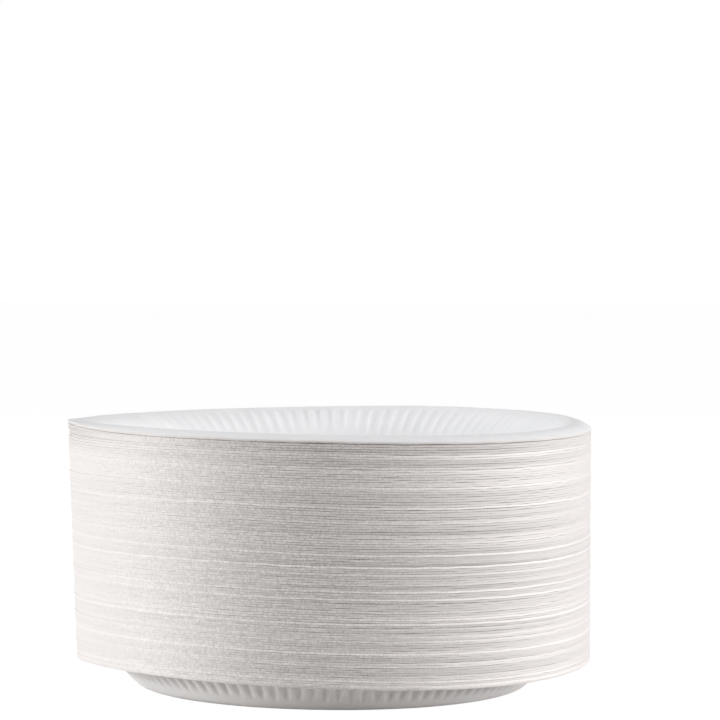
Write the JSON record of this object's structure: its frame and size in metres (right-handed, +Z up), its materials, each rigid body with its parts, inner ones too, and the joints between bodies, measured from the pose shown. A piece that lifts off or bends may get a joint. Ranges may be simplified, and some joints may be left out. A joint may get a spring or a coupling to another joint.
{
  "type": "stack of paper plates",
  "caption": "Tall nested stack of round white paper plates with fluted walls and a smooth turned-down lip, open dish on top, flat foot to stand on.",
  "frame": {"origin": "centre of the flat foot of the lowest plate, on the floor", "axes": "+Z up along the stack's axis, X and Y across it; the stack is round, so any side is its front"},
  "size_m": [0.23, 0.23, 0.1179],
  "materials": {
    "white_board": "uncoated white pressed board, matt, with faint fibres"
  },
  "bodies": {
    "root": {"bottom_plate": "white_board", "plates_002_to_067": "white_board", "plates_068_to_133": "white_board", "plates_134_to_199": "white_board", "top_plate": "white_board"}
  },
  "joints": []
}
